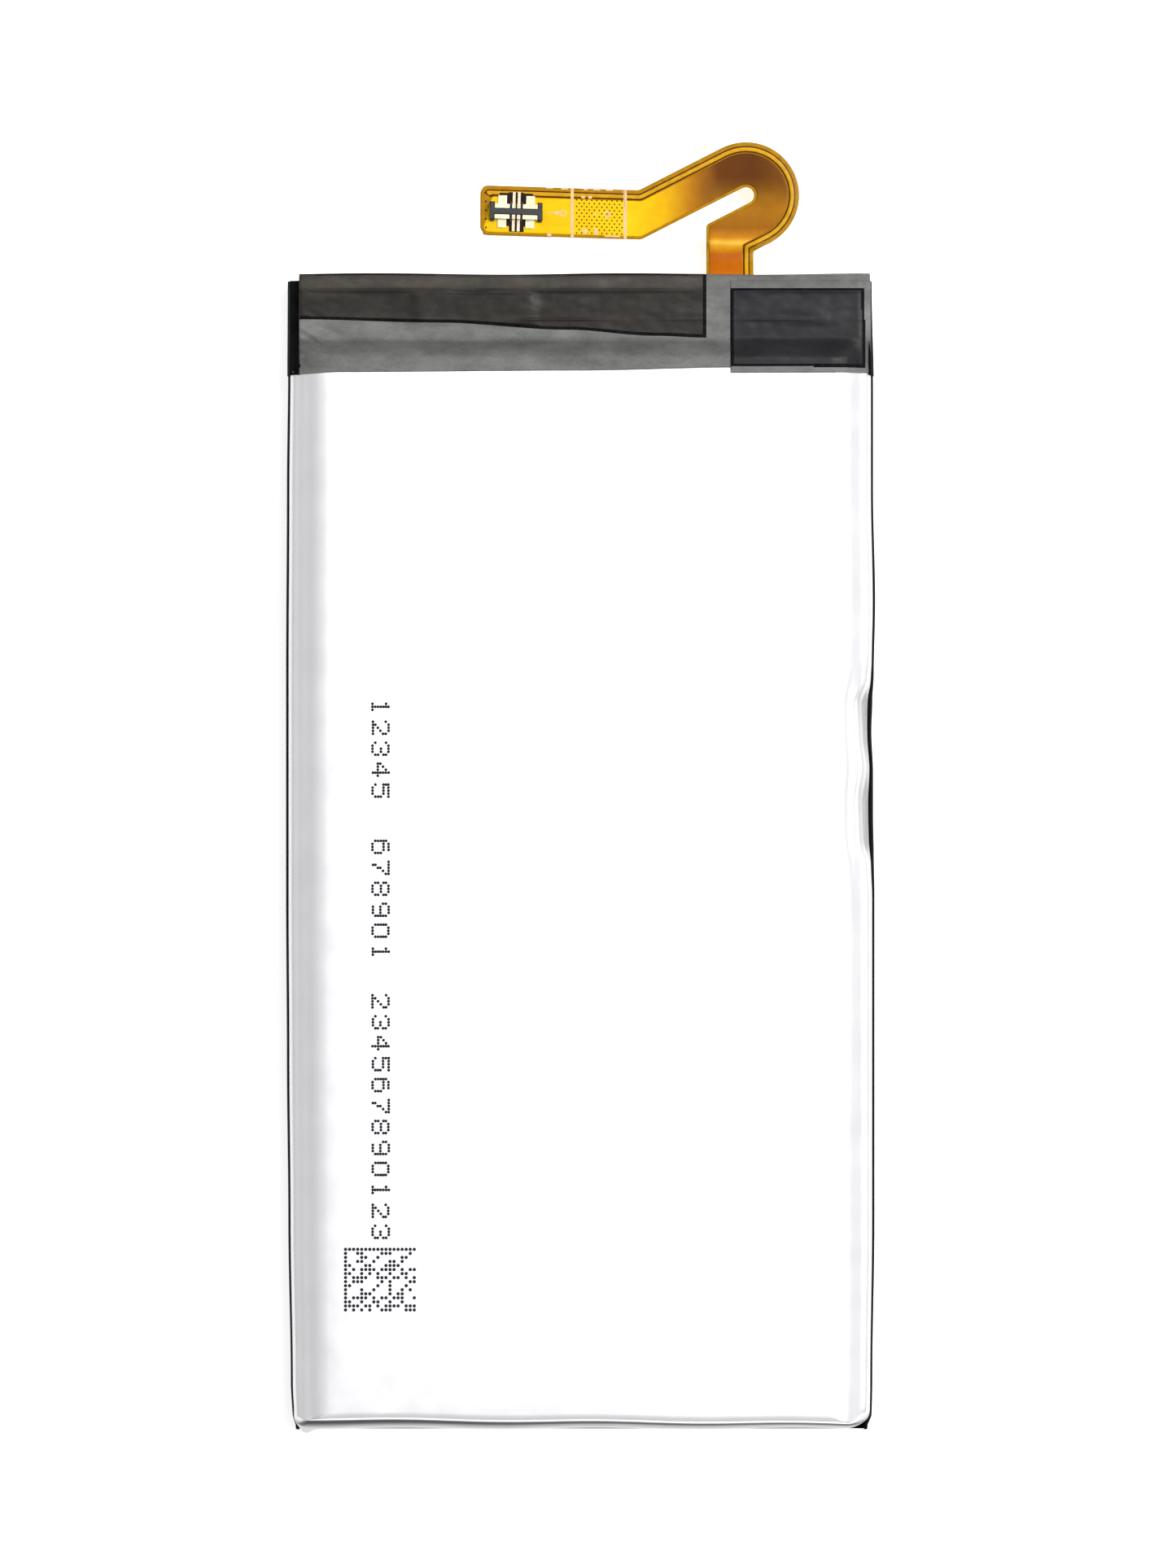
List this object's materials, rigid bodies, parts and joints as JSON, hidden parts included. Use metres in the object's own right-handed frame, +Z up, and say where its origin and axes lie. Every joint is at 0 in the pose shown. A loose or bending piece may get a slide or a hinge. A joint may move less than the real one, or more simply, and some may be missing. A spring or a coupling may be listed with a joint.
{
  "type": "flat lithium polymer battery cell",
  "caption": "Flat foil-pouch lithium battery cell with a protection board under tape and a folding printed flex tail ending in a small connector.",
  "frame": {"origin": "centre of the cell's flat back face", "axes": "+Z up out of the drawn face, +Y along the cell towards the end that the flex tail leaves, +X to the right seen from above"},
  "size_m": [0.042, 0.0921, 0.0055],
  "materials": {
    "laminate": "satin",
    "graphite_coating": "matte",
    "oxide_coating": "matte",
    "separator": "matte",
    "brown_tape": "satin",
    "aluminium_foil": "satin",
    "nickel": "satin",
    "sealant": "satin",
    "insulating_paper": "matte",
    "foam": "matte",
    "board": "satin",
    "chip_body": "matte",
    "chip_ceramic": "satin",
    "solder": "gloss",
    "black_film": "satin",
    "grey_film": "satin",
    "dark_film": "satin",
    "polyimide": "gloss",
    "copper": "gloss",
    "coverlay": "gloss",
    "stiffener_steel": "satin",
    "connector_plastic": "satin",
    "contact_plating": "gloss"
  },
  "bodies": {
    "cell": {"pouch_cup": "laminate", "pouch_cover": "laminate", "anode_strip": "graphite_coating", "cathode_strip": "oxide_coating", "inner_separator": "separator", "outer_separator": "separator", "roll_closing_tape": "brown_tape", "positive_tab": "aluminium_foil", "negative_tab": "nickel", "positive_tab_sealant": "sealant", "negative_tab_sealant": "sealant", "terrace_insulator": "insulating_paper", "board_foam_pad": "foam", "protection_board": "board", "positive_weld_plate": "nickel", "negative_weld_plate": "nickel", "protection_mosfets": "chip_body", "protection_ic": "chip_body", "chip_fuse": "chip_ceramic", "thermistor": "chip_ceramic", "chip_resistors": "chip_body", "chip_capacitors": "chip_ceramic", "tail_solder_joints": "solder", "back_label": "black_film", "top_film": "grey_film", "corner_film": "dark_film", "dark_strip_film": "dark_film", "left_edge_film": "black_film", "right_edge_film": "black_film", "neck_base_film": "polyimide", "neck_copper": "copper", "neck_coverlay": "coverlay"},
    "tail": {"tail_base_film": "polyimide", "tail_copper": "copper", "tail_trace": "copper", "tail_coverlay": "coverlay"},
    "arm": {"arm_base_film": "polyimide", "arm_copper": "copper", "arm_trace": "copper", "arm_coverlay": "coverlay", "connector_stiffener": "stiffener_steel", "connector_housing": "connector_plastic", "power_contacts": "contact_plating", "signal_contacts": "contact_plating"}
  },
  "joints": [
    {"name": "tail_fold", "type": "hinge", "parent": "cell", "child": "tail", "pos_m": [0.01066, 0.0432, 0.003], "axis": [1, 0, 0], "range_deg": [-10, 60], "stiffness_Nm_per_rad": 0.0008},
    {"name": "arm_bend", "type": "hinge", "parent": "tail", "child": "arm", "pos_m": [0.00128, 0.046, 0.003], "axis": [0, 1, 0], "range_deg": [-10, 60], "stiffness_Nm_per_rad": 0.0008}
  ]
}
